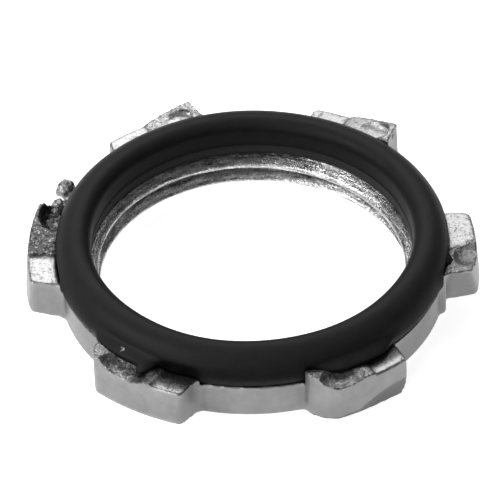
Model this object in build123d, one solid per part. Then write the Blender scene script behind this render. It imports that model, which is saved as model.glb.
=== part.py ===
from build123d import *
import os
from math import ceil, radians, sqrt, tan

# Sealing locknut for 1 inch trade size rigid conduit: a cast zinc ring with six
# toothed lugs and a straight pipe thread, and a soft sealing ring moulded on its
# top face. The origin is on the thread axis, at the underside of the nut. +Z
# points to the sealing side, which is screwed against the enclosure wall. The
# middle of one lug lies on +X.

# ---- driving dimensions, mm and degrees ----

# thread: straight pipe thread for locknuts, right hand
threads_per_inch = 11.5
thread_minor_diameter = 30.68
thread_depth = 1.42
thread_crest_flat = 0.42
thread_flank_angle = 30.0
thread_start_angle = 206.0       # where the groove's middle crosses the underside

# ring of the nut
hub_wall = 2.64                  # from the thread's root to the ring's edge
hub_thickness = 3.8
hub_edge_chamfer = 0.35
bore_lead_in = 0.8               # at the underside

# lugs
lug_count = 6
lug_reach = 3.4                  # from the ring's edge to the lug circle
lug_tip_width = 9.8
lug_flank_lean = 2.0             # of each flank from the lug's middle line
lug_root_fillet = 1.2
lug_corner_fillet = 1.0
lug_underside_rise = 0.85        # at the tip, above the underside of the ring
lug_parting_height = 1.5         # where the tip is widest
lug_underside_chamfer = 0.4      # radial width of the tip's lower edge
lug_draft = 7.0                  # of the tip above the parting height
lug_top_height = 4.95            # of the plain part, at the tip
lug_top_fall = 4.0               # slope of the lug's top towards the ring
lug_ring_gap = 0.15              # from the ring's edge to the raised root of a lug

# tooth on the clockwise part of each lug
tooth_start = 0.9                # counter-clockwise of the lug's middle line
tooth_step = 0.2                 # where the tooth starts
tooth_rise = 1.2                 # at the clockwise end
scoop_radius = 2.2
scoop_depth = 0.85               # below the step
scoop_length = 1.1               # between the centres of its two round ends
scoop_rim = 0.4                  # left standing at the tip
scoop_offset = 1.6               # clockwise of the lug's middle line

# sealing ring
seal_bore_setback = 0.76         # outside the thread's crests
seal_crest_share = 0.36          # of its width, from the bore to the highest line
seal_foot_setback = 0.3          # inside the ring's edge
seal_overhang = 0.45             # of the widest place, outside the ring's edge
seal_height = 3.95               # above the ring's top face
seal_bulge_height = 1.35         # of the widest place, above the ring's top face
seal_inner_rounding = 1.3        # height of the rounded corner beside the bore

overshoot = 1.0                  # how far a cutting solid runs past what it cuts

# ---- derived sizes ----

pitch = 25.4 / threads_per_inch
minor_radius = thread_minor_diameter / 2
major_radius = minor_radius + thread_depth
hub_radius = major_radius + hub_wall
lug_radius = hub_radius + lug_reach
lug_root_radius = hub_radius + lug_ring_gap
seal_inner_radius = minor_radius + seal_bore_setback
seal_outer_radius = hub_radius + seal_overhang
seal_foot_radius = hub_radius - seal_foot_setback
seal_width = seal_outer_radius - seal_inner_radius
seal_crest_radius = seal_inner_radius + seal_width * seal_crest_share
seal_top = hub_thickness + seal_height
seal_widest = hub_thickness + seal_bulge_height
seal_shoulder = seal_top - seal_inner_rounding
highest = lug_top_height + tooth_rise + overshoot


def turned(*points):
    """A closed outline of straight lines in the XZ plane, turned round the axis."""
    return revolve(Plane.XZ * make_face(Polyline(*points, close=True)), Axis.Z)


def hub_ring():
    """The plain ring, with its bore opened out at both ends, before threading."""
    top_lead_in = seal_inner_radius - minor_radius
    return turned(
        (minor_radius, bore_lead_in),
        (minor_radius + bore_lead_in, 0),
        (hub_radius - hub_edge_chamfer, 0),
        (hub_radius, hub_edge_chamfer),
        (hub_radius, hub_thickness),
        (seal_inner_radius, hub_thickness),
        (minor_radius, hub_thickness - top_lead_in),
    )


def groove_turn():
    """One turn of the groove between the thread's crests, from +X at height zero."""
    flank = tan(radians(thread_flank_angle))
    root_half = (pitch - thread_crest_flat) / 2 - thread_depth * flank
    inner_radius = minor_radius - overshoot / 4
    inner_half = root_half + (major_radius - inner_radius) * flank
    section = make_face(
        Polyline(
            (inner_radius, -inner_half),
            (major_radius, -root_half),
            (major_radius, root_half),
            (inner_radius, inner_half),
            close=True,
        )
    )
    path = Helix(pitch=pitch, height=pitch, radius=minor_radius)
    return sweep(Plane.XZ * section, path=path, is_frenet=True)


def threaded(blank):
    """The blank with the groove cut turn by turn, out past both of its faces."""
    turn = groove_turn()
    turns = ceil(hub_thickness / pitch) + 2
    for number in range(turns):
        blank -= Pos(0, 0, (number - 1) * pitch) * Rot(0, 0, thread_start_angle) * turn
    return blank


def lug_outline():
    """The ring and its lugs seen from above, with concave roots and eased corners."""
    inner = (hub_radius + minor_radius) / 2
    half_tip = lug_tip_width / 2
    tip = sqrt(lug_radius**2 - half_tip**2)
    half_root = half_tip + (tip - inner) * tan(radians(lug_flank_lean))
    lug = make_face(
        [
            Line((inner, -half_root), (tip, -half_tip)),
            ThreePointArc((tip, -half_tip), (lug_radius, 0), (tip, half_tip)),
            Line((tip, half_tip), (inner, half_root)),
            Line((inner, half_root), (inner, -half_root)),
        ]
    )
    star = Circle(hub_radius) + PolarLocations(0, lug_count) * lug
    middle = (hub_radius + lug_radius) / 2

    def distance(corner):
        return Vector(corner.X, corner.Y).length

    roots = star.vertices().filter_by(lambda corner: distance(corner) < middle)
    star = fillet(roots, lug_root_fillet)
    tips = star.vertices().filter_by(lambda corner: distance(corner) > lug_radius - 0.001)
    return fillet(tips, lug_corner_fillet)


def tip_envelope():
    """What the mould leaves of the tips: drafted above the parting line, eased below."""
    above = highest - lug_parting_height
    return turned(
        (0, 0),
        (hub_radius, 0),
        (lug_radius - lug_underside_chamfer, lug_underside_rise),
        (lug_radius, lug_parting_height),
        (lug_radius - above * tan(radians(lug_draft)), highest),
        (0, highest),
    )


def top_of_lug():
    """The space above one lug on +X: flat on one part, a rising tooth on the other."""
    half_tip = lug_tip_width / 2
    far = lug_radius + overshoot
    side = half_tip + overshoot * 2
    slope = (tooth_rise - tooth_step) / (half_tip + tooth_start)
    skyline = make_face(
        Polyline(
            (side, lug_top_height),
            (tooth_start, lug_top_height),
            (tooth_start, lug_top_height + tooth_step),
            (-side, lug_top_height + tooth_step + slope * (side + tooth_start)),
            (-side, highest * 2),
            (side, highest * 2),
            close=True,
        )
    )
    placed = Plane(origin=(lug_radius, 0, 0), x_dir=(0, 1, 0), z_dir=(1, 0, 0)) * skyline
    inward = (-1, 0, -tan(radians(lug_top_fall)))
    outward = (1, 0, tan(radians(lug_top_fall)))
    length = lug_radius - hub_radius + overshoot
    cut = extrude(placed, amount=length, dir=inward)
    return cut + extrude(placed, amount=far - lug_radius, dir=outward)


def scoop_of_lug():
    """The round-ended hollow in the tooth, open to the ring and closed at the tip."""
    half_width = sqrt(scoop_radius**2 - (scoop_radius - scoop_depth) ** 2)
    reach = lug_radius - scoop_rim - half_width
    height = lug_top_height + tooth_step - scoop_depth + scoop_radius
    ends = [
        Pos(reach, -scoop_offset + way * scoop_length / 2, height) * Sphere(scoop_radius)
        for way in (-1, 1)
    ]
    middle = Pos(reach, -scoop_offset, height) * Rot(90, 0, 0)
    return ends[0] + ends[1] + middle * Cylinder(scoop_radius, scoop_length)


def locknut_body():
    lugs = extrude(lug_outline(), amount=highest) & tip_envelope()
    lugs -= Pos(0, 0, hub_thickness) * Cylinder(
        lug_root_radius, highest, align=(Align.CENTER, Align.CENTER, Align.MIN)
    )
    lugs -= Cylinder(
        (minor_radius + hub_radius) / 2 + overshoot / 2,
        highest * 3,
    )
    lugs -= PolarLocations(0, lug_count) * top_of_lug()
    lugs -= PolarLocations(0, lug_count) * scoop_of_lug()
    return threaded(hub_ring() + lugs)


def sealing_ring():
    """The soft ring's section turned round the axis, shaped round the lugs' roots."""
    foot = (seal_foot_radius, hub_thickness)
    heel = (seal_inner_radius, hub_thickness)
    shoulder = (seal_inner_radius, seal_shoulder)
    widest = (seal_outer_radius, seal_widest)
    inner_corner = EllipticalCenterArc(
        (seal_crest_radius, seal_shoulder),
        seal_crest_radius - seal_inner_radius,
        seal_inner_rounding,
        start_angle=90,
        arc_size=90,
    )
    outer_side = EllipticalCenterArc(
        (seal_crest_radius, seal_widest),
        seal_outer_radius - seal_crest_radius,
        seal_top - seal_widest,
        start_angle=0,
        arc_size=90,
    )
    undercut = TangentArc(widest, foot, tangent=(0, -1))
    section = make_face(
        [Line(foot, heel), Line(heel, shoulder), inner_corner, outer_side, undercut]
    )
    return revolve(Plane.XZ * section, Axis.Z)


os.makedirs("parts", exist_ok=True)
body = locknut_body()
seal = sealing_ring() - body
for name, shape in {"locknut_body": body, "sealing_ring": seal}.items():
    export_step(shape, f"parts/{name}.step")
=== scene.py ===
import math
from collections import namedtuple

import bpy
import numpy as np
from mathutils import Matrix, Vector


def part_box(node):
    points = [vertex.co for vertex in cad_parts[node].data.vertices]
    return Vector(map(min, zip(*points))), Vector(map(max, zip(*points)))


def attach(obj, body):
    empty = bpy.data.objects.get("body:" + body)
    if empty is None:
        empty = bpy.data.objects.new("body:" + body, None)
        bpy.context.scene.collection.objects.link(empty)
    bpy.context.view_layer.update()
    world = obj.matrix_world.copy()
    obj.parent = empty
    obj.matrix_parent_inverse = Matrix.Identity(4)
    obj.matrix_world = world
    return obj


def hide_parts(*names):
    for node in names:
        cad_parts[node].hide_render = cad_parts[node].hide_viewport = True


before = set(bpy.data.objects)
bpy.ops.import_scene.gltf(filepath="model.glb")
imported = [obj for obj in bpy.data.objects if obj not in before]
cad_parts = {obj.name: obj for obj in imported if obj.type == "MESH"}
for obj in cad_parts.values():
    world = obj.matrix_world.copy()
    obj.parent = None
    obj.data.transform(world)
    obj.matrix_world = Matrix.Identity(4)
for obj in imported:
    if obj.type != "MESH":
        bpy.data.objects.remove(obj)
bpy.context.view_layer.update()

# A sealing locknut in two pieces: a zinc casting with six toothed lugs and a thread,
# and the soft ring moulded on its top. Both are shaped in millimetres and degrees, and
# brought to metres when they are finished. The thread's axis is Z, the underside is at
# height 0, and the middle of one lug lies on +X. Clockwise is as seen from above.

# ---- sizes ----

MM = 0.001

_, body_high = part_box("locknut_body")
seal_low, seal_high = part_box("sealing_ring")
LUG_R = body_high.x / MM     # the circle that the lugs reach
RING_TOP = seal_low.z / MM   # the ring's flat top, where the seal lies
SEAL_TOP = seal_high.z / MM

# ring, seat and bore
RING_R = 19.4                # the ring's edge between two lugs
SEAT_R = 19.55               # the flat seat, out to where a lug rises
SEAL_IN = 16.10              # the seal's bore
SEAL_LINE = 4.95             # height of the mould's line in that bore
LEAD_IN = 0.8                # the bore's opening at the underside

# thread
CREST_R = 15.34
ROOT_R = 16.76
PITCH = 25.4 / 11.5          # 11.5 threads in an inch
CREST_FLAT = 0.42
FLANK_ANGLE = 30
GROOVE_START = 206           # where the groove's middle crosses the underside

# lugs
LUG_SPACING = 60
ROOT_ANGLE = 15              # half of what a lug takes of the ring
ROOT_FILLET = 1.2
PARTING = 1.5                # height at which a tip is widest
DRAFT = 5.5                  # of a tip above that height
TOP_FALL = 4                 # slope of a lug's top towards the ring
STEP = 0.2                   # where a tooth starts
BOWL_RISE = 1.1              # of a bowl's centre above the lug's plain top

# working allowances
CORE_R = 12                  # inside the bore, which is cleared last
OVERSHOOT = 1                # how far a cutter runs past what it cuts
CLEAR_TOP = 12               # above every surface
NEAR, NEAR_ANGLE = 0.01, 0.1
MERGE = 1e-4                 # doubles nearer than this are one point
VOXEL = 0.19                 # the finest grid that keeps the casting's mesh light

# No two lugs were cast alike. For each one: its angle; how far it reaches either way
# from its middle line, clockwise and counter-clockwise; the rounding of those two tip
# corners; the height of its plain top; where the tooth starts, how much that line
# slants, and the tooth's lift at the clockwise end; the bowl's centre, its half sizes
# along and across the lug, and its depth below the centre; how coarse and how pale the
# cast skin in the bowl is, and how strong the painted highlight on the flat is.
Lug = namedtuple(
    "Lug",
    "angle clockwise counter round_cw round_ccw top start slant lift bowl"
    " coarse pale shine",
)
LUGS = (
    Lug(0, 4.9, 5.5, 0.5, 1.9, 4.95, 1.0, 0.55, 1.05,
        (21.5, -1.5, 2.0, 2.5, 1.45), 0.35, 0.19, 0.8),
    Lug(60, 4.6, 5.2, 0.4, 1.2, 5.25, 1.2, 0.0, 1.9,
        (20.5, -2.2, 1.3, 2.6, 0.7), 0.45, 0.42, 0.8),
    Lug(120, 4.9, 4.5, 0.65, 0.6, 4.95, 0.1, 0.0, 1.9,
        (20.4, -2.4, 1.2, 2.2, 0.48), 0.6, 0.55, 1.0),
    Lug(180, 6.5, 4.9, 1.4, 0.5, 4.95, 1.15, 0.1, 1.1,
        (19.9, -4.5, 1.6, 2.3, 1.7), 1.0, 0.08, 1.0),
    Lug(240, 5.8, 4.9, 2.0, 0.8, 4.95, 1.8, 0.0, 0.85,
        (21.7, -1.5, 2.0, 3.0, 1.5), 0.8, 0.22, 0.85),
    Lug(300, 5.0, 4.8, 3.2, 0.5, 4.95, 1.0, 0.0, 0.95,
        (21.4, -1.9, 1.8, 2.8, 1.4), 0.8, 0.32, 0.95),
)
RIGHT, FRONT_LEFT, FRONT_RIGHT = 0, 4, 5


# ---- modelling by hand ----

def alone(piece):
    """Only this piece is selected."""
    for other in bpy.context.selected_objects:
        other.select_set(False)
    piece.select_set(True)
    bpy.context.view_layer.objects.active = piece


def added(name):
    """The primitive just added, named, with its place in its mesh."""
    piece = bpy.context.object
    piece.name = name
    alone(piece)
    bpy.ops.object.transform_apply(location=True, rotation=True, scale=True)
    return piece


def select(piece, kind, test):
    """Edit mode, with only the vertices, edges or faces that pass the test selected."""
    alone(piece)
    bpy.ops.object.mode_set(mode="EDIT")
    bpy.ops.mesh.select_mode(type=kind)
    bpy.ops.mesh.select_all(action="DESELECT")
    bpy.ops.object.mode_set(mode="OBJECT")
    mesh = piece.data
    if kind == "VERT":
        for vertex in mesh.vertices:
            vertex.select = test(vertex.co)
    elif kind == "EDGE":
        for edge in mesh.edges:
            start, end = (mesh.vertices[i].co for i in edge.vertices)
            edge.select = test(start, end)
    else:
        for face in mesh.polygons:
            face.select = test(face.center, face.normal)
    bpy.ops.object.mode_set(mode="EDIT")


def select_whole(piece):
    """Edit mode, with every vertex selected."""
    select(piece, "VERT", lambda point: True)


def done():
    """Back from edit mode."""
    bpy.ops.object.mode_set(mode="OBJECT")


def tidied(piece):
    """Doubles merged, normals outwards."""
    alone(piece)
    bpy.ops.object.mode_set(mode="EDIT")
    bpy.ops.mesh.select_all(action="SELECT")
    bpy.ops.mesh.remove_doubles(threshold=MERGE)
    bpy.ops.mesh.normals_make_consistent(inside=False)
    done()
    return piece


def apply(piece, kind, **settings):
    """Adds a modifier with its settings and applies it."""
    alone(piece)
    modifier = piece.modifiers.new(kind.title(), kind)
    for name, value in settings.items():
        setattr(modifier, name, value)
    bpy.ops.object.modifier_apply(modifier=modifier.name)


def boolean(piece, operation, tool):
    """The piece cut by, joined to or kept within the tool, which is used up."""
    apply(piece, "BOOLEAN", operation=operation, object=tool, solver="EXACT")
    bpy.data.objects.remove(tool)
    return piece


def joined(pieces):
    """Several pieces as one mesh."""
    alone(pieces[0])
    for piece in pieces[1:]:
        piece.select_set(True)
    bpy.ops.object.join()
    return pieces[0]


def turned(name, outline, steps):
    """A ring spun round the thread's axis from an outline of radius and height."""
    bpy.ops.mesh.primitive_circle_add(vertices=len(outline), radius=1)
    piece = added(name)
    for vertex, (radius, height) in zip(piece.data.vertices, outline):
        vertex.co = (radius, 0, height)
    select_whole(piece)
    bpy.ops.mesh.spin(
        steps=steps, angle=math.tau, center=(0, 0, 0), axis=(0, 0, 1)
    )
    done()
    return tidied(piece)


def about(angle):
    """A turn round the thread's axis."""
    return Matrix.Rotation(math.radians(angle), 4, "Z")


def off_lug(point, angle):
    """How many degrees counter-clockwise of a lug's middle a point lies."""
    turn = math.degrees(math.atan2(point.y, point.x)) - angle
    return (turn + 180) % 360 - 180


# ---- nut casting ----

def to_tip(lug, point):
    """Moves a point drawn out of the ring to the lug's tip, whose middle is on +X."""
    share = math.sin(math.asin(point.y / RING_R) * 90 / ROOT_ANGLE)
    reach, ease = lug.clockwise, lug.round_cw
    if share > 0:
        reach, ease = lug.counter, lug.round_ccw
    point.y = share * reach
    over = max(abs(point.y) - reach + ease, 0)
    point.x = math.sqrt(LUG_R**2 - point.y**2)
    point.x -= ease - math.sqrt(max(ease**2 - over**2, 0))
    return point


def lugged_blank():
    """A tall ring with six lugs drawn out of it, and fillets at their roots."""
    sides = 216              # a whole number of them in ROOT_ANGLE
    sideways = 0.5           # a wall's normal rises less than this
    low, high = -2, 10
    bpy.ops.mesh.primitive_cylinder_add(
        vertices=sides, radius=RING_R, depth=high - low,
        location=(0, 0, (low + high) / 2),
    )
    blank = added("nut_casting")
    for lug in LUGS:
        select(
            blank, "FACE",
            lambda centre, normal: abs(normal.z) < sideways
            and abs(off_lug(centre, lug.angle)) < ROOT_ANGLE - NEAR_ANGLE,
        )
        way = about(lug.angle) @ Vector((LUG_R - RING_R, 0, 0))
        bpy.ops.mesh.extrude_region_move(TRANSFORM_OT_translate={"value": way})
        done()
        for vertex in blank.data.vertices:
            if vertex.select:
                local = about(-lug.angle) @ vertex.co
                vertex.co = about(lug.angle) @ to_tip(lug, local)

    def at_root(start, end):
        """An upright edge where a lug leaves the ring."""
        upright = (start.xy - end.xy).length < NEAR < abs(start.z - end.z)
        return upright and abs(start.xy.length - RING_R) < NEAR and any(
            abs(abs(off_lug(start, lug.angle)) - ROOT_ANGLE) < NEAR_ANGLE
            for lug in LUGS
        )

    select(blank, "EDGE", at_root)
    bpy.ops.mesh.bevel(offset=ROOT_FILLET, segments=8, clamp_overlap=False)
    done()
    return tidied(blank)


def drafted(blank):
    """The blank kept within the mould: tips drafted above, eased below."""
    mould_top = 9.0
    ring_chamfer, ring_chamfer_height = 0.35, 0.3
    tip_chamfer, tip_rise, tip_inset = 0.35, 0.85, 0.02
    lean = math.tan(math.radians(DRAFT))
    mould = turned(
        "mould",
        (
            (CORE_R, 0),
            (RING_R - ring_chamfer, 0),
            (RING_R, ring_chamfer_height),
            (LUG_R - tip_chamfer, tip_rise),
            (LUG_R - tip_inset, PARTING),
            (LUG_R - (mould_top - PARTING) * lean, mould_top),
            (CORE_R, mould_top),
        ),
        steps=180,
    )
    return boolean(blank, "INTERSECT", mould)


def above_lug(lug):
    """What is cut off a lug's top: flat on one part, a rising tooth on the other."""
    middle, size = (20.7, 0, 7), (6.2, 15, 5)
    bpy.ops.mesh.primitive_cube_add(size=1, location=middle, scale=size)
    tool = added("above_lug")
    half_step = 0.12         # the step is a short slope, not a cliff
    for side in (-half_step, half_step):
        select_whole(tool)
        bpy.ops.mesh.bisect(
            plane_co=(LUG_R, lug.start + side, 0), plane_no=(-lug.slant, 1, 0)
        )
        done()
    fall = math.tan(math.radians(TOP_FALL))
    slope = (lug.lift - STEP) / (lug.clockwise + lug.start)
    for vertex in tool.data.vertices:
        if vertex.co.z < middle[2]:
            inward = LUG_R - vertex.co.x
            across = lug.start - lug.slant * inward - vertex.co.y
            tooth = STEP + slope * across if across > 0 else 0
            vertex.co.z = lug.top - inward * fall + tooth
    tool.data.transform(about(lug.angle))
    return tool


def scoop(lug):
    """The bowl in the toothed part of a lug."""
    along, across, half_along, half_across, drop = lug.bowl
    bpy.ops.mesh.primitive_uv_sphere_add(
        segments=40, ring_count=24, radius=1,
        location=(along, across, lug.top + BOWL_RISE),
        scale=(half_along, half_across, drop),
    )
    tool = added("scoop")
    tool.data.transform(about(lug.angle))
    return tool


def wedge(lug, inner, outer):
    """A cube whose corners are put where the lug on +X needs it, turned to its lug.

    Each face is given as its clockwise and its counter-clockwise side, and each side
    as its low and its high corner.
    """
    corners = (inner, outer)
    bpy.ops.mesh.primitive_cube_add(size=2)
    tool = added("wedge")
    for vertex in tool.data.vertices:
        x, y, z = (side > 0 for side in vertex.co)
        vertex.co = corners[x][y][z]
    tool.data.transform(about(LUGS[lug].angle))
    return tidied(tool)


def flank_paring():
    """The right lug leans in below on its clockwise side."""
    root, outside, beside = 19.3, 24, -9
    below, above = -1, 6.5
    return wedge(
        RIGHT,
        inner=(
            ((root, beside, below), (root, beside, above)),
            ((root, -2.5, below), (root, -5.4, above)),
        ),
        outer=(
            ((outside, beside, below), (outside, beside, above)),
            ((outside, -2.0, below), (outside, -5.2, above)),
        ),
    )


def edge_paring():
    """The right lug slopes off above its counter-clockwise flank."""
    root, outside, above = 19.6, 24, 7
    start, start_height = 4.9, 5.05
    end, end_height = 6.5, 2.85
    return wedge(
        RIGHT,
        inner=(
            ((root, start, start_height), (root, start, above)),
            ((root, end, end_height), (root, end, above)),
        ),
        outer=(
            ((outside, start, start_height), (outside, start, above)),
            ((outside, end, end_height), (outside, end, above)),
        ),
    )


def corner_fill():
    """The front right lug is filled down to the ring's underside at one corner."""
    root, start, end = 19.2, -1, 4.6
    start_height, end_height, fill_top = 0.8, 0, 2
    return wedge(
        FRONT_RIGHT,
        inner=(
            ((root, start, start_height), (root, start, fill_top)),
            ((root, end, end_height), (root, end, fill_top)),
        ),
        outer=(
            ((22.3, start, start_height), (22.3, start, fill_top)),
            ((21.9, end, end_height), (21.9, end, fill_top)),
        ),
    )


def corner_paring():
    """Below, that corner is then pared off steeply."""
    outside, below = 26, -1
    start, end = -1.2, 7
    start_line, end_line = (22.1, start, below), (20.85, end, below)
    return wedge(
        FRONT_RIGHT,
        inner=((start_line, start_line), (end_line, end_line)),
        outer=(
            ((outside, start, below), (outside, start, 14.6)),
            ((outside, end, below), (outside, end, 19.6)),
        ),
    )


def bore_cutter():
    """Clears the bore with its two lead-ins, and the seat that the seal lies on."""
    inside = 5
    return turned(
        "bore_cutter",
        (
            (inside, -OVERSHOOT),
            (CREST_R + LEAD_IN + OVERSHOOT, -OVERSHOOT),
            (CREST_R, LEAD_IN),
            (CREST_R, RING_TOP - (SEAL_IN - CREST_R)),
            (SEAL_IN, RING_TOP),
            (SEAT_R, RING_TOP),
            (SEAT_R, CLEAR_TOP),
            (inside, CLEAR_TOP),
        ),
        steps=240,
    )


def groove_cutter():
    """The thread's groove: a wedge section screwed up through the bore."""
    bpy.ops.mesh.primitive_plane_add(size=2)
    tool = added("groove_cutter")
    flank = math.tan(math.radians(FLANK_ANGLE))
    root_half = (PITCH - CREST_FLAT) / 2 - (ROOT_R - CREST_R) * flank
    inner = CREST_R - 0.3    # clear of the crests
    for vertex in tool.data.vertices:
        side = math.copysign(1, vertex.co.y)
        deep = vertex.co.x > 0
        half = root_half + (0 if deep else (ROOT_R - inner) * flank)
        vertex.co = (ROOT_R if deep else inner, 0, side * half - PITCH)
    tool.data.transform(about(GROOVE_START))
    select(tool, "FACE", lambda centre, normal: True)
    bpy.ops.mesh.delete(type="ONLY_FACE")
    done()
    turns, steps = 4, 120
    apply(
        tool, "SCREW", axis="Z", screw_offset=PITCH, iterations=turns,
        steps=steps, render_steps=steps, angle=math.tau,
    )
    select_whole(tool)
    bpy.ops.mesh.fill_holes(sides=0)
    done()
    return tidied(tool)


def flash():
    """Lumps of flash between the ring and the clockwise end of the lug on -X."""
    lumps = (                # centre, half sizes
        ((-19.0, 10.1, 4.4), (0.95, 1.05, 0.9)),
        ((-19.7, 9.6, 4.3), (0.45, 0.4, 0.4)),
        ((-18.5, 9.2, 3.7), (0.8, 0.7, 0.8)),
        ((-17.9, 8.6, 3.1), (1.0, 1.0, 0.8)),
        ((-19.6, 7.7, 4.1), (0.9, 0.75, 0.75)),
        ((-19.9, 6.5, 4.4), (0.75, 0.9, 0.75)),
    )
    grain = bpy.data.textures.new("flash", "CLOUDS")
    grain.noise_scale = 0.5
    made = []
    for number, (place, size) in enumerate(lumps):
        bpy.ops.mesh.primitive_ico_sphere_add(
            subdivisions=4, radius=1, location=place, scale=size,
            rotation=(0.7 * number, 0.2, 1.3 * number),
        )
        lump = added("flash")
        apply(
            lump, "DISPLACE", texture=grain, texture_coords="LOCAL",
            strength=0.45, mid_level=0.5,
        )
        made.append(lump)
    return made


def nut_casting():
    """The casting's shape as one closed skin, before that skin is roughened."""
    casting = drafted(lugged_blank())
    boolean(casting, "DIFFERENCE", joined([above_lug(lug) for lug in LUGS]))
    boolean(casting, "DIFFERENCE", joined([scoop(lug) for lug in LUGS]))
    boolean(casting, "DIFFERENCE", flank_paring())
    boolean(casting, "DIFFERENCE", edge_paring())
    boolean(casting, "UNION", corner_fill())
    boolean(casting, "DIFFERENCE", corner_paring())
    boolean(casting, "DIFFERENCE", bore_cutter())
    boolean(casting, "DIFFERENCE", groove_cutter())
    joined([casting] + flash())
    apply(casting, "REMESH", mode="VOXEL", voxel_size=VOXEL, adaptivity=0)
    apply(casting, "SMOOTH", factor=0.5, iterations=2)
    return casting


# ---- what a surface's finish depends on ----

def lug_places(points):
    """For each point: radius, degrees off the nearest lug's middle, and its number."""
    radius = np.hypot(points[:, 0], points[:, 1])
    angle = np.degrees(np.arctan2(points[:, 1], points[:, 0])) % 360
    number = np.round(angle / LUG_SPACING).astype(int)
    return radius, angle - number * LUG_SPACING, number % len(LUGS)


def ramp(value, none, full):
    """0 at none, 1 at full, smooth between. It falls where none is above full."""
    t = np.clip((value - none) / (full - none), 0, 1)
    return t * t * (3 - 2 * t)


def mesh_points(piece):
    """The mesh's points and their normals, as rows."""
    mesh = piece.data
    points = np.zeros(len(mesh.vertices) * 3)
    mesh.vertices.foreach_get("co", points)
    normals = np.zeros(len(mesh.vertices) * 3)
    mesh.vertices.foreach_get("normal", normals)
    return points.reshape(-1, 3), normals.reshape(-1, 3)


def hollowness(piece, rounds=6):
    """Above 0 in hollows and below 0 on edges, from each point's neighbours."""
    points, normals = mesh_points(piece)
    edges = np.zeros(len(piece.data.edges) * 2, np.int64)
    piece.data.edges.foreach_get("vertices", edges)
    a, b = edges.reshape(-1, 2).T
    count = np.bincount(np.r_[a, b], minlength=len(points))[:, None]
    mean = points.copy()
    for _ in range(rounds):
        total = np.zeros_like(mean)
        for axis in range(3):
            total[:, axis] = np.bincount(
                np.r_[a, b], weights=np.r_[mean[b, axis], mean[a, axis]],
                minlength=len(points),
            )
        mean = 0.5 * mean + 0.5 * total / count
    return ((mean - points) * normals).sum(1)


def keep_attributes(piece, **values):
    """Numbers kept on the mesh's points, for the finish to read."""
    for name, numbers in values.items():
        stored = piece.data.attributes.new(name, "FLOAT", "POINT")
        stored.data.foreach_set("value", np.asarray(numbers, np.float32))


def weigh(piece, name, weights):
    """A vertex group with these weights, in even steps."""
    group = piece.vertex_groups.new(name=name)
    count = 16
    steps = np.round(np.clip(weights, 0, 1) * count).astype(int)
    for step in range(1, count + 1):
        members = np.nonzero(steps == step)[0]
        if len(members):
            group.add(members.tolist(), step / count, "REPLACE")


def roughen(piece, group, scale, strength, depth):
    """Casting skin: clouds of this size, as high as the group says."""
    skin = bpy.data.textures.new(group, "CLOUDS")
    skin.noise_scale = scale
    skin.noise_depth = depth
    apply(
        piece, "DISPLACE", texture=skin, texture_coords="LOCAL",
        strength=strength, mid_level=0.5, vertex_group=group,
    )
    piece.vertex_groups.remove(piece.vertex_groups[group])


def finished_casting():
    """The casting with a rough skin, and with what its finish depends on kept on it."""
    casting = nut_casting()
    points, normals = mesh_points(casting)
    height, facing = points[:, 2], normals[:, 2]
    radius, off, lug = lug_places(points)
    coarse, pale, shine, start, slant = (
        np.array([getattr(row, name) for row in LUGS])[lug]
        for name in ("coarse", "pale", "shine", "start", "slant")
    )
    along = radius * np.cos(np.radians(off))
    across = radius * np.sin(np.radians(off)) - start
    across += slant * (LUG_R - along)

    # The toothed part of each lug's top is rough, and its plain part gets a painted
    # highlight.
    top = ramp(height, none=4.1, full=4.4) * ramp(radius, none=19.5, full=19.8)
    bowl = top * ramp(across, none=0.1, full=-0.2)
    bowl *= ramp(facing, none=0.25, full=0.5)
    facet = top * ramp(across, none=-0.1, full=0.2)
    facet *= ramp(facing, none=0.7, full=0.85)
    end_angle, end_pale = -18, 0.4      # past the clockwise end of the widest lug
    pale = np.where(off < end_angle, end_pale, pale)

    # Compound smears the front lugs beside the seal; painted shade darkens the pared
    # corner where it faces down, and a painted shadow lies in the thread's groove.
    # painted shade on the pared corner where it faces down
    underside_shade = (lug == FRONT_RIGHT) * ramp(radius, none=19.6, full=20.2)
    underside_shade *= ramp(-facing, none=0.12, full=0.28)
    front = (lug >= FRONT_LEFT) * top * ramp(facing, none=0.2, full=0.5)
    middle = -1.4                       # of the smear, clockwise of the step
    smear = front * (lug == FRONT_LEFT)
    smear = smear * ramp(np.abs(across - middle), none=1.4, full=0.7)
    smear = np.maximum(smear, front * facet * ramp(radius, none=22.2, full=21.2))
    smear = np.maximum(smear, 0.35 * front * ramp(radius, none=21.6, full=20.8))
    # painted shadow in the thread's groove
    groove = ramp(radius, none=15.8, full=16.4) * ramp(radius, none=17.3, full=17.0)
    groove *= ramp(height, none=3.6, full=3.2)

    everywhere = 0.3                    # skin that the walls have too
    skin = everywhere + (1 - everywhere) * facet * coarse
    weigh(casting, "bowl", bowl * coarse)
    weigh(casting, "skin", skin * ramp(height, none=0.2, full=0.8))
    roughen(casting, "bowl", scale=0.4, strength=0.28, depth=2)
    roughen(casting, "skin", scale=1.1, strength=0.07, depth=3)

    deepest = 0.12                      # hollow or edge that counts in full
    hollow = hollowness(casting) / deepest
    keep_attributes(
        casting, bowl=bowl, facet=facet, shine=shine, pale=pale, grain=coarse,
        dirt=np.maximum.reduce([0.6 * underside_shade, 0.75 * smear, 0.6 * groove]),
        hollow=np.clip(hollow, 0, 1), edge=np.clip(-hollow, 0, 1),
        thread=ramp(radius, none=17.3, full=16.9),
    )
    return to_size(casting)


def to_size(piece):
    """The finished piece brought to metres, at the origin, with smooth shading."""
    piece.data.transform(Matrix.Scale(MM, 4))
    piece.data.update()
    alone(piece)
    bpy.ops.object.shade_smooth()
    return piece


# ---- sealing ring ----

def arc(centre, radii, start, end, count):
    """Points along part of an ellipse, without its last one."""
    steps = [math.radians(start + (end - start) * i / count) for i in range(count)]
    return [
        (centre[0] + radii[0] * math.cos(a), centre[1] + radii[1] * math.sin(a))
        for a in steps
    ]


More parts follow.
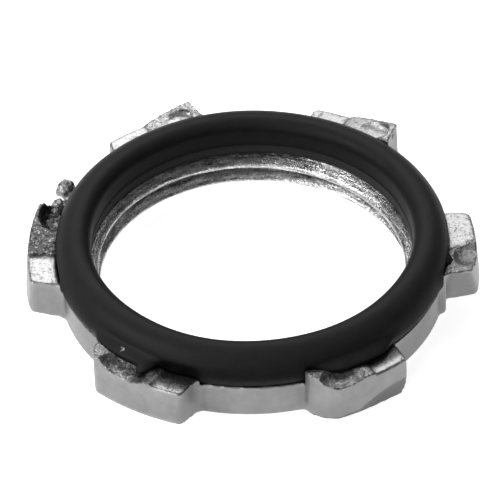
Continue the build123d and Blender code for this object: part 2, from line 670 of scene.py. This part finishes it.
def seal_outline():
    """The seal's section, from the foot of its bore round its outside and back."""
    crest, outer, foot = 17.45, 19.85, 19.1
    widest, shoulder = RING_TOP + 1.35, SEAL_TOP - 1.3
    half_line, proud = 0.07, 0.06
    return (
        [(SEAL_IN + (foot - SEAL_IN) * i / 8, RING_TOP) for i in range(8)]
        + [(foot, RING_TOP)]
        + [(foot + 0.32, RING_TOP + 0.3), (outer - 0.15, RING_TOP + 0.75)]
        + arc((crest, widest), (outer - crest, SEAL_TOP - widest), 0, 90, 26)
        + arc((crest, shoulder), (crest - SEAL_IN, SEAL_TOP - shoulder), 90, 180, 14)
        + [(SEAL_IN, shoulder - 0.35 * i) for i in range(4)]
        + [(SEAL_IN, SEAL_LINE + half_line), (SEAL_IN - proud, SEAL_LINE)]
        + [(SEAL_IN, SEAL_LINE - half_line), (SEAL_IN, 4.5), (SEAL_IN, 4.15)]
    )


# Compound that ran out over the front lugs and the right one, in tongues: the middle
# and the half width of each, in degrees, how far it reaches, and its height.
TONGUES = (
    (232.0, 14.0, 1.3, 5.4),
    (239.8, 2.6, 2.0, 5.0),
    (302.0, 17.0, 1.25, 5.3),
    (352.0, 3.5, 0.7, 5.0),
)


def sealing_ring():
    """The seal: spun, pressed in over the lugs' roots, and run out in tongues."""
    seal = turned("seal", seal_outline(), steps=300)
    points, _ = mesh_points(seal)
    height = points[:, 2].copy()
    radius, off, _ = lug_places(points)
    turn = np.arctan2(points[:, 1], points[:, 0])
    degrees = np.degrees(turn) % 360

    clearance = 0.04
    pressed = np.maximum(radius - SEAT_R + clearance, 0)
    low = ramp(height, none=6.6, full=5.4)
    over_lug = ramp(np.abs(off), none=18.0, full=12.5)
    new_radius = radius - pressed * low * over_lug

    spread = np.zeros(len(points))
    for middle, half, reach, level in TONGUES:
        tongue = ramp(np.abs(degrees - middle), none=half, full=0.3 * half)
        tongue *= ramp(np.abs(height - level), none=0.9, full=0.15) * (radius > 19.0)
        spread = np.maximum(spread, reach * tongue)
    new_radius += spread

    # Soft as it is, its top wanders a little off the round.
    wide, narrow = 0.05, 0.03
    wave = wide * np.sin(3 * turn + 0.7) + narrow * np.sin(7 * turn + 2.1)
    new_radius += wave * ramp(height, none=4.5, full=6.5)
    points[:, 0] *= new_radius / radius
    points[:, 1] *= new_radius / radius
    seal.data.vertices.foreach_set("co", points.ravel())
    seal.data.update()

    # What faces up gets a painted sheen, and the bore's lip below the mould's line is
    # lighter too.
    points, normals = mesh_points(seal)
    lip = 0.7 * ramp(np.hypot(points[:, 0], points[:, 1]), none=16.4, full=16.2)
    lip *= ramp(points[:, 2], none=SEAL_LINE, full=SEAL_LINE - 0.15)
    upward = ramp(normals[:, 2], none=0.1, full=0.95)
    keep_attributes(seal, upward=np.maximum(upward, lip))
    return to_size(seal)


# ---- finishes ----

class Wire:
    """A shader socket that can be written in sums. Any other node comes from node()."""

    def __init__(self, tree, socket=None):
        self.tree, self.socket = tree, socket

    def node(self, kind, settings=None, values=None, out=0):
        """A new node with its settings, then its values and links, as its output."""
        made = self.tree.nodes.new("ShaderNode" + kind)
        for name, value in (settings or {}).items():
            setattr(made, name, value)
        for name, value in (values or {}).items():
            if isinstance(value, Wire):
                self.tree.links.new(value.socket, made.inputs[name])
            else:
                made.inputs[name].default_value = value
        return Wire(self.tree, made.outputs[out])

    def into(self, shader, name):
        """Linked to one of the shader's own sockets."""
        self.tree.links.new(self.socket, shader.inputs[name])

    def math(self, operation, first, second):
        return self.node("Math", {"operation": operation}, {0: first, 1: second})

    def __add__(self, other):
        return self.math("ADD", self, other)

    def __radd__(self, other):
        return self.math("ADD", other, self)

    def __sub__(self, other):
        return self.math("SUBTRACT", self, other)

    def __rsub__(self, other):
        return self.math("SUBTRACT", other, self)

    def __mul__(self, other):
        return self.math("MULTIPLY", self, other)

    def __rmul__(self, other):
        return self.math("MULTIPLY", other, self)

    def swing(self, spread):
        """Noise made a change of this spread, as often up as down."""
        return (self - 0.5) * spread

    def ramp(self, none, full):
        """0 at none, 1 at full, smooth between."""
        return self.node(
            "MapRange", {"interpolation_type": "SMOOTHSTEP"},
            {"Value": self, "From Min": none, "From Max": full},
        )

    def clamped(self):
        """Kept between 0 and 1."""
        return self.node("Clamp", None, {"Value": self})

    def noise(self, place, scale, detail=2.0, roughness=0.5):
        """Noise with this many features in a millimetre."""
        return self.node(
            "TexNoise", None,
            {"Vector": place, "Scale": scale, "Detail": detail, "Roughness": roughness},
        )

    def stored(self, name):
        """What the mesh keeps under this name."""
        return self.node("Attribute", {"attribute_name": name}, out="Fac")

    def blend(self, factor, first, second):
        """A number between two numbers."""
        return self.node(
            "Mix", {"data_type": "FLOAT"}, {"Factor": factor, "A": first, "B": second}
        )

    def grey(self, value):
        """A number as a grey of that brightness."""
        return self.node(
            "CombineColor", None, {"Red": value, "Green": value, "Blue": value}
        )

    def bump(self, height, strength, distance):
        return self.node(
            "Bump", None, {"Height": height, "Strength": strength, "Distance": distance}
        )


def finish(name):
    """A new material, with its shader and a wire to start from."""
    material = bpy.data.materials.new(name)
    material.use_nodes = True
    tree = material.node_tree
    return material, tree.nodes["Principled BSDF"], Wire(tree)


def millimetres(wire):
    """Places on the piece in millimetres, so that a pattern keeps its size."""
    place = wire.node("TexCoord", out="Object")
    return wire.node("VectorMath", {"operation": "SCALE"}, {0: place, "Scale": 1 / MM})


def zinc_casting():
    """Zinc: dull walls, flats with a painted highlight, a dark rough skin in bowls, a
    cut thread.
    """
    material, shader, wire = finish("zinc casting")
    place = millimetres(wire)
    bowl, facet, thread, dirt, hollow, edge, shine, pale, grain = (
        wire.stored(name) for name in (
            "bowl", "facet", "thread", "dirt", "hollow", "edge", "shine", "pale",
            "grain",
        )
    )

    # patterns, from the widest to the finest
    cloud = wire.noise(place, scale=0.35, detail=3)
    mottle = wire.noise(place, scale=1.3, detail=4, roughness=0.6)
    uneven = wire.noise(place, scale=2.2, detail=4, roughness=0.65)
    fleck = wire.noise(place, scale=3.0, detail=3, roughness=0.7)
    fleck = fleck.ramp(none=0.5, full=0.64)
    speck = wire.noise(place, scale=4.5, detail=2, roughness=0.6)
    pit = speck.ramp(none=0.36, full=0.46)
    spark = speck.ramp(none=0.56, full=0.66)
    stretch = (0.22, 0.22, 2.6)         # lines that run along the thread
    round_place = wire.node(
        "VectorMath", {"operation": "MULTIPLY"}, {0: place, 1: stretch}
    )
    streak = wire.noise(round_place, scale=2.2, detail=4, roughness=0.7)

    # brightness of each kind of surface, the flats' being a painted highlight
    wall_shade, flat_highlight_level, thread_shade = 0.22, 0.5, 0.42
    wall = wall_shade + cloud.swing(0.12) + mottle.swing(0.1)
    bright = shine * (flat_highlight_level + mottle.swing(0.3)) - 0.25 * fleck
    # edges lighter where worn bare, partly a painted highlight; where the skin is pale
    # they come out darker
    wear_and_highlight = edge * (1 - 2 * pale)
    rough = pale * (1 - 0.7 * grain * (1 - pit)) * (1 - edge)
    rough = rough + (0.2 * grain + 0.5 * wear_and_highlight) * spark + 0.15 * wear_and_highlight
    cut = thread_shade + mottle.swing(0.4) + streak.swing(1.9) + 0.35 * spark
    shade = wire.blend(facet, wall, bright)
    shade = wire.blend(bowl, shade, rough)
    shade = wire.blend(thread, shade, cut.clamped())

    # painted shade in hollows and along the flats' outer edges, compound smear with
    # painted shade, and edges lighter where worn bare, partly a painted highlight
    shade = shade * (1 - 0.75 * hollow) * (1 - dirt) * (1 - 0.35 * facet * edge)
    shade = shade + 0.12 * wear_and_highlight * (1 - facet)
    wire.grey(shade).into(shader, "Base Color")

    roughness = 0.42 + mottle.swing(0.3) - 0.16 * thread
    roughness.into(shader, "Roughness")
    shader.inputs["Metallic"].default_value = 0.9
    height = (
        0.35 * uneven + (0.1 + 0.9 * bowl + 0.7 * facet) * speck
        + thread * (1.2 * streak + 0.7 * speck)
    )
    wire.bump(height, strength=0.4, distance=0.18 * MM).into(shader, "Normal")
    return material


def seal_compound():
    """Soft black PVC, a little dusty, with a painted sheen where it faces up and one
    metal flake painted pale for its glint.
    """
    material, shader, wire = finish("black sealing compound")
    place = millimetres(wire)
    upward = wire.stored("upward")
    cloud = wire.noise(place, scale=0.5, detail=3)
    dust = wire.noise(place, scale=6, detail=3, roughness=0.7)
    dust = dust.ramp(none=0.62, full=0.72)
    ragged = wire.noise(place, scale=5, detail=2)
    flake_place = (-12.44, -15.92, 5.95)
    flake = wire.node(
        "VectorMath", {"operation": "DISTANCE"}, {0: place, 1: flake_place}, out="Value"
    )
    # a metal flake, painted as a pale spot that stands for its glint: a painted glint
    flake = (flake + ragged).ramp(none=0.72, full=0.55)

    black = 0.002
    # upward adds a painted sheen where the seal faces up, and lightens the bore's lip
    shade = black + 0.015 * upward + cloud.swing(0.005) + 0.012 * dust + 0.3 * flake
    wire.grey(shade).into(shader, "Base Color")
    roughness = 0.5 + cloud.swing(0.2) + 0.15 * dust
    roughness.into(shader, "Roughness")
    shader.inputs["Specular IOR Level"].default_value = 0.07
    height = 0.6 * wire.noise(place, scale=0.8, detail=2) + 0.25 * ragged
    wire.bump(height, strength=0.25, distance=0.2 * MM).into(shader, "Normal")
    return material


def floor_board():
    """A white board, so bright that shadows on it stay faint."""
    material, shader, _ = finish("floor board")
    shader.inputs["Base Color"].default_value = (0.9, 0.9, 0.9, 1)
    shader.inputs["Roughness"].default_value = 0.7
    shader.inputs["Emission Color"].default_value = (1, 1, 1, 1)
    shader.inputs["Emission Strength"].default_value = 0.85
    return material


# ---- the object ----

casting = finished_casting()
casting.data.materials.append(zinc_casting())
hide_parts("locknut_body")
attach(casting, "root")

seal = sealing_ring()
seal.data.materials.append(seal_compound())
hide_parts("sealing_ring")
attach(seal, "root")


# ---- floor, lights and camera, in metres ----

bpy.ops.mesh.primitive_plane_add(size=3)
floor = added("floor")
floor.data.materials.append(floor_board())


def panel(name, azimuth, elevation, width, height, power):
    """A soft light panel that faces the nut."""
    distance = 0.6
    a, e = math.radians(azimuth), math.radians(elevation)
    away = Vector((math.cos(a) * math.cos(e), math.sin(a) * math.cos(e), math.sin(e)))
    bpy.ops.object.light_add(type="AREA", location=away * distance)
    light = bpy.context.object
    light.name = name
    light.rotation_euler = away.to_track_quat("Z", "Y").to_euler()
    light.data.shape = "RECTANGLE"
    light.data.size, light.data.size_y = width, height
    light.data.energy = power


panel("back_panel", azimuth=95, elevation=45, width=0.5, height=0.35, power=2.2)
panel("left_panel", azimuth=200, elevation=39, width=0.25, height=0.25, power=2.4)
panel("low_panel", azimuth=238, elevation=18, width=0.3, height=0.15, power=1.0)

world = bpy.data.worlds.new("studio")
bpy.context.scene.world = world
world.use_nodes = True
background = world.node_tree.nodes["Background"]
background.inputs["Color"].default_value = (1, 1, 1, 1)
background.inputs["Strength"].default_value = 0.12

bpy.context.scene.view_settings.view_transform = "Standard"

EYE_DISTANCE = 0.4032
tilt, swing, roll = math.radians(41.6), math.radians(1.4), math.radians(1.67)
eye = EYE_DISTANCE * Vector((
    math.cos(tilt) * math.sin(swing), -math.cos(tilt) * math.cos(swing), math.sin(tilt)
))
aim = Vector((-0.00019, 0, 0.00457))
level = (eye - aim).to_track_quat("Z", "Y").to_matrix()
bpy.ops.object.camera_add(location=eye)
camera = bpy.context.object
camera.rotation_euler = (level @ Matrix.Rotation(-roll, 3, "Z")).to_euler()
camera.data.sensor_width = 36
camera.data.lens = 288
camera.data.clip_start = 0.01
bpy.context.scene.camera = camera
